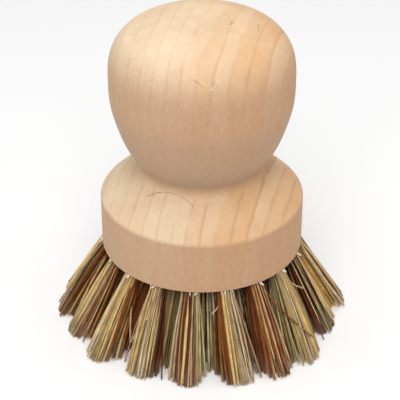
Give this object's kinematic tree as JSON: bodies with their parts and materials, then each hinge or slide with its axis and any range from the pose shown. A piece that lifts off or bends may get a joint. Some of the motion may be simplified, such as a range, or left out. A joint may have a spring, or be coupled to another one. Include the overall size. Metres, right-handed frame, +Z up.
{
  "type": "dish brush",
  "caption": "Round wooden dish brush with a knob handle, a waisted neck and splayed tufts of plant fibre trimmed flat.",
  "frame": {"origin": "on the turning axis, in the plane that the fibre ends are trimmed to", "axes": "+Z up the turning axis to the top of the knob; -Y towards the picture's camera, +X to its right"},
  "size_m": [0.0832, 0.083, 0.089],
  "materials": {
    "beech": "matte",
    "fibre": "matte",
    "staple_wire": "satin"
  },
  "bodies": {
    "root": {"handle_block": "beech", "staples_centre": "staple_wire", "staples_inner": "staple_wire", "staples_middle": "staple_wire", "staples_outer": "staple_wire", "tuft_centre_01": "fibre", "tuft_inner_01": "fibre", "tuft_inner_02": "fibre", "tuft_inner_03": "fibre", "tuft_inner_04": "fibre", "tuft_inner_05": "fibre", "tuft_inner_06": "fibre", "tuft_inner_07": "fibre", "tuft_middle_01": "fibre", "tuft_middle_02": "fibre", "tuft_middle_03": "fibre", "tuft_middle_04": "fibre", "tuft_middle_05": "fibre", "tuft_middle_06": "fibre", "tuft_middle_07": "fibre", "tuft_middle_08": "fibre", "tuft_middle_09": "fibre", "tuft_middle_10": "fibre", "tuft_middle_11": "fibre", "tuft_middle_12": "fibre", "tuft_middle_13": "fibre", "tuft_middle_14": "fibre", "tuft_outer_01": "fibre", "tuft_outer_02": "fibre", "tuft_outer_03": "fibre", "tuft_outer_04": "fibre", "tuft_outer_05": "fibre", "tuft_outer_06": "fibre", "tuft_outer_07": "fibre", "tuft_outer_08": "fibre", "tuft_outer_09": "fibre", "tuft_outer_10": "fibre", "tuft_outer_11": "fibre", "tuft_outer_12": "fibre", "tuft_outer_13": "fibre", "tuft_outer_14": "fibre", "tuft_outer_15": "fibre", "tuft_outer_16": "fibre", "tuft_outer_17": "fibre", "tuft_outer_18": "fibre"}
  },
  "joints": []
}
